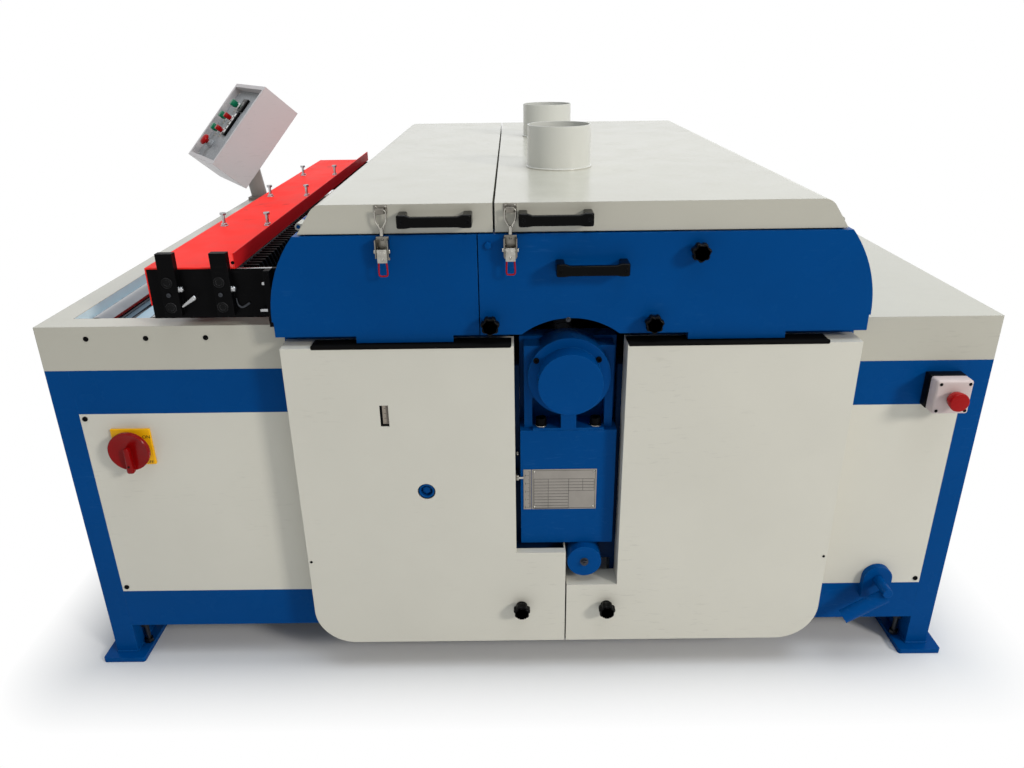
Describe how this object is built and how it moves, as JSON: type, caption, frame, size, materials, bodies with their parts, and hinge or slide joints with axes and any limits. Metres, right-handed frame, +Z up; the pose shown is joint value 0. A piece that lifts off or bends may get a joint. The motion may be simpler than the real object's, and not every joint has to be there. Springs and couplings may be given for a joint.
{
  "type": "multi-rip saw",
  "caption": "Floor-standing multi-rip saw: roller infeed, anti-kickback fingers, lower blade arbor, hinged dust lids with round ports, lift-off doors, tilted control box.",
  "frame": {"origin": "on the floor, at the centre of the four anchor holes in the foot plates", "axes": "+X along the feed from infeed to outfeed, -Y towards the service side, +Z up"},
  "size_m": [2.2258, 1.7853, 1.2447],
  "materials": {
    "blue_paint": "gloss enamel",
    "white_paint": "satin enamel",
    "red_paint": "gloss enamel",
    "black_steel": "satin black",
    "pale_bed": "satin enamel",
    "bright_steel": "ground",
    "zinc": "bright zinc",
    "cast_grey": "painted casting",
    "black_plastic": "matte",
    "grey_plastic": "matte",
    "yellow_plastic": "matte",
    "red_plastic": "gloss",
    "green_plastic": "gloss",
    "belt_rubber": "ribbed"
  },
  "bodies": {
    "machine_frame": {"base_frame": "blue_paint", "levelling_screws": "zinc", "frame_panels": "white_paint", "infeed_table": "white_paint", "bed_plates": "pale_bed", "outfeed_table": "white_paint", "saw_body": "blue_paint", "end_covers": "blue_paint", "left_latch_base": "zinc", "kickback_frame": "black_steel", "red_cover": "red_paint", "control_post": "white_paint", "control_box": "white_paint", "switch_plate": "yellow_plastic", "stop_box": "grey_plastic", "lift_roller": "blue_paint", "feed_drive": "cast_grey"},
    "left_lid": {"left_lid": "white_paint", "left_lid_handle": "black_plastic", "left_latch_bail": "zinc"},
    "right_lid": {"right_lid": "white_paint", "right_lid_handle": "black_plastic", "right_latch_bail": "zinc"},
    "left_latch": {"left_latch_lever": "zinc"},
    "access_cover": {"access_cover": "blue_paint", "cover_handle": "black_plastic", "cover_knobs": "black_plastic", "right_latch_base": "zinc"},
    "right_latch": {"right_latch_lever": "zinc"},
    "left_door": {"left_door": "white_paint"},
    "right_door": {"right_door": "white_paint"},
    "left_door_knob": {"left_door_knob": "black_plastic"},
    "right_door_knob": {"right_door_knob": "black_plastic"},
    "arbor_carriage": {"bearing_columns": "blue_paint", "bearing_housings": "blue_paint", "main_motor": "cast_grey", "drive_belt": "belt_rubber"},
    "saw_arbor": {"saw_arbor": "bright_steel", "saw_blades": "bright_steel"},
    "motor_rotor": {"motor_pulley": "bright_steel"},
    "adjusting_shaft": {"adjusting_shaft": "blue_paint"},
    "lift_lever": {"lift_lever": "blue_paint"},
    "infeed_feed_roller": {"infeed_feed_roller": "bright_steel"},
    "outfeed_feed_roller": {"outfeed_feed_roller": "bright_steel"},
    "drive_sprocket": {"drive_sprocket": "bright_steel"},
    "pressure_unit": {"pressure_beams": "black_steel"},
    "infeed_pressure_roller": {"infeed_pressure_roller": "bright_steel"},
    "outfeed_pressure_roller": {"outfeed_pressure_roller": "bright_steel"},
    "idler_roller_1": {"idler_roller_1": "bright_steel"},
    "idler_roller_2": {"idler_roller_2": "bright_steel"},
    "idler_roller_3": {"idler_roller_3": "bright_steel"},
    "kickback_fingers": {"kickback_fingers": "black_steel"},
    "switch_knob": {"switch_knob": "red_plastic"},
    "stop_button": {"stop_button": "red_plastic"},
    "panel_stop": {"panel_stop": "red_plastic"},
    "start_button": {"start_button": "green_plastic"},
    "feed_start_button": {"feed_start_button": "green_plastic"},
    "feed_stop_button": {"feed_stop_button": "red_plastic"},
    "saw_start_button": {"saw_start_button": "green_plastic"},
    "saw_stop_button": {"saw_stop_button": "red_plastic"}
  },
  "joints": [
    {"name": "left_lid_hinge", "type": "hinge", "parent": "machine_frame", "child": "left_lid", "pos_m": [-0.432, 0, 1.041], "axis": [0, -1, 0], "range_deg": [0, 100]},
    {"name": "right_lid_hinge", "type": "hinge", "parent": "machine_frame", "child": "right_lid", "pos_m": [0.642, 0, 1.041], "axis": [0, 1, 0], "range_deg": [0, 100]},
    {"name": "left_latch_pivot", "type": "hinge", "parent": "machine_frame", "child": "left_latch", "pos_m": [-0.254, -0.8345, 1.012], "axis": [-1, 0, 0], "range_deg": [0, 100]},
    {"name": "access_cover_pull", "type": "slide", "parent": "machine_frame", "child": "access_cover", "axis": [0, -1, 0], "range_m": [0, 0.3]},
    {"name": "right_latch_pivot", "type": "hinge", "parent": "access_cover", "child": "right_latch", "pos_m": [-0.012, -0.8345, 1.012], "axis": [-1, 0, 0], "range_deg": [0, 100]},
    {"name": "left_door_pull", "type": "slide", "parent": "machine_frame", "child": "left_door", "axis": [0, -1, 0], "range_m": [0, 0.3]},
    {"name": "right_door_pull", "type": "slide", "parent": "machine_frame", "child": "right_door", "axis": [0, -1, 0], "range_m": [0, 0.3]},
    {"name": "left_door_knob_turn", "type": "hinge", "parent": "left_door", "child": "left_door_knob", "pos_m": [0.003, -0.85, 0.184], "axis": [0, -1, 0], "continuous": true},
    {"name": "right_door_knob_turn", "type": "hinge", "parent": "right_door", "child": "right_door_knob", "pos_m": [0.196, -0.85, 0.184], "axis": [0, -1, 0], "continuous": true},
    {"name": "arbor_lift", "type": "slide", "parent": "machine_frame", "child": "arbor_carriage", "axis": [0, 0, 1], "range_m": [0, 0.02]},
    {"name": "saw_spin", "type": "hinge", "parent": "arbor_carriage", "child": "saw_arbor", "pos_m": [0.105, 0, 0.74], "axis": [0, 1, 0], "continuous": true},
    {"name": "motor_spin", "type": "hinge", "parent": "arbor_carriage", "child": "motor_rotor", "pos_m": [0.435, 0.6, 0.516], "axis": [0, 1, 0], "continuous": true},
    {"name": "height_adjuster", "type": "hinge", "parent": "machine_frame", "child": "adjusting_shaft", "pos_m": [-0.199, -0.775, 0.489], "axis": [0, -1, 0], "range_deg": [0, 720]},
    {"name": "lever_turn", "type": "hinge", "parent": "machine_frame", "child": "lift_lever", "pos_m": [0.832, -0.85, 0.213], "axis": [0, -1, 0], "range_deg": [-45, 90]},
    {"name": "infeed_roller_spin", "type": "hinge", "parent": "machine_frame", "child": "infeed_feed_roller", "pos_m": [-0.155, 0, 0.7805], "axis": [0, 1, 0], "continuous": true},
    {"name": "outfeed_roller_spin", "type": "hinge", "parent": "machine_frame", "child": "outfeed_feed_roller", "pos_m": [0.365, 0, 0.7805], "axis": [0, 1, 0], "continuous": true},
    {"name": "drive_sprocket_spin", "type": "hinge", "parent": "machine_frame", "child": "drive_sprocket", "pos_m": [-0.3, 0.67, 0.4], "axis": [0, 1, 0], "continuous": true},
    {"name": "pressure_lift", "type": "slide", "parent": "machine_frame", "child": "pressure_unit", "axis": [0, 0, 1], "range_m": [0, 0.05]},
    {"name": "infeed_pressure_spin", "type": "hinge", "parent": "pressure_unit", "child": "infeed_pressure_roller", "pos_m": [-0.155, 0, 0.9125], "axis": [0, 1, 0], "continuous": true},
    {"name": "outfeed_pressure_spin", "type": "hinge", "parent": "pressure_unit", "child": "outfeed_pressure_roller", "pos_m": [0.365, 0, 0.9125], "axis": [0, 1, 0], "continuous": true},
    {"name": "kickback_swing", "type": "hinge", "parent": "machine_frame", "child": "kickback_fingers", "pos_m": [-0.528, 0, 0.945], "axis": [0, -1, 0], "range_deg": [0, 40]},
    {"name": "main_switch_turn", "type": "hinge", "parent": "machine_frame", "child": "switch_knob", "pos_m": [-0.835, -0.8, 0.577], "axis": [0, -1, 0], "range_deg": [0, 90]},
    {"name": "stop_button_press", "type": "slide", "parent": "machine_frame", "child": "stop_button", "axis": [0, 1, 0], "range_m": [0, 0.005], "stiffness_N_per_m": 800, "springref_m": -0.004},
    {"name": "panel_stop_press", "type": "slide", "parent": "machine_frame", "child": "panel_stop", "axis": [0.6233, 0.4047, -0.6691], "range_m": [0, 0.005], "stiffness_N_per_m": 800, "springref_m": -0.004},
    {"name": "idler_spin_1", "type": "hinge", "parent": "machine_frame", "child": "idler_roller_1", "pos_m": [-0.885, 0, 0.824], "axis": [0, 1, 0], "continuous": true},
    {"name": "idler_spin_2", "type": "hinge", "parent": "machine_frame", "child": "idler_roller_2", "pos_m": [-0.762, 0, 0.824], "axis": [0, 1, 0], "continuous": true},
    {"name": "idler_spin_3", "type": "hinge", "parent": "machine_frame", "child": "idler_roller_3", "pos_m": [-0.639, 0, 0.824], "axis": [0, 1, 0], "continuous": true},
    {"name": "start_press", "type": "slide", "parent": "machine_frame", "child": "start_button", "axis": [0.6233, 0.4047, -0.6691], "range_m": [0, 0.004], "stiffness_N_per_m": 400, "springref_m": -0.004},
    {"name": "feed_start_press", "type": "slide", "parent": "machine_frame", "child": "feed_start_button", "axis": [0.6233, 0.4047, -0.6691], "range_m": [0, 0.004], "stiffness_N_per_m": 400, "springref_m": -0.004},
    {"name": "feed_stop_press", "type": "slide", "parent": "machine_frame", "child": "feed_stop_button", "axis": [0.6233, 0.4047, -0.6691], "range_m": [0, 0.004], "stiffness_N_per_m": 400, "springref_m": -0.004},
    {"name": "saw_start_press", "type": "slide", "parent": "machine_frame", "child": "saw_start_button", "axis": [0.6233, 0.4047, -0.6691], "range_m": [0, 0.004], "stiffness_N_per_m": 400, "springref_m": -0.004},
    {"name": "saw_stop_press", "type": "slide", "parent": "machine_frame", "child": "saw_stop_button", "axis": [0.6233, 0.4047, -0.6691], "range_m": [0, 0.004], "stiffness_N_per_m": 400, "springref_m": -0.004}
  ],
  "couplings": [
    {"joint": "motor_spin", "follows": "saw_spin", "ratio": 0.775},
    {"joint": "height_adjuster", "follows": "arbor_lift", "rad_per_m": 628.32},
    {"joint": "outfeed_roller_spin", "follows": "infeed_roller_spin", "ratio": 1},
    {"joint": "drive_sprocket_spin", "follows": "infeed_roller_spin", "ratio": 0.75}
  ]
}
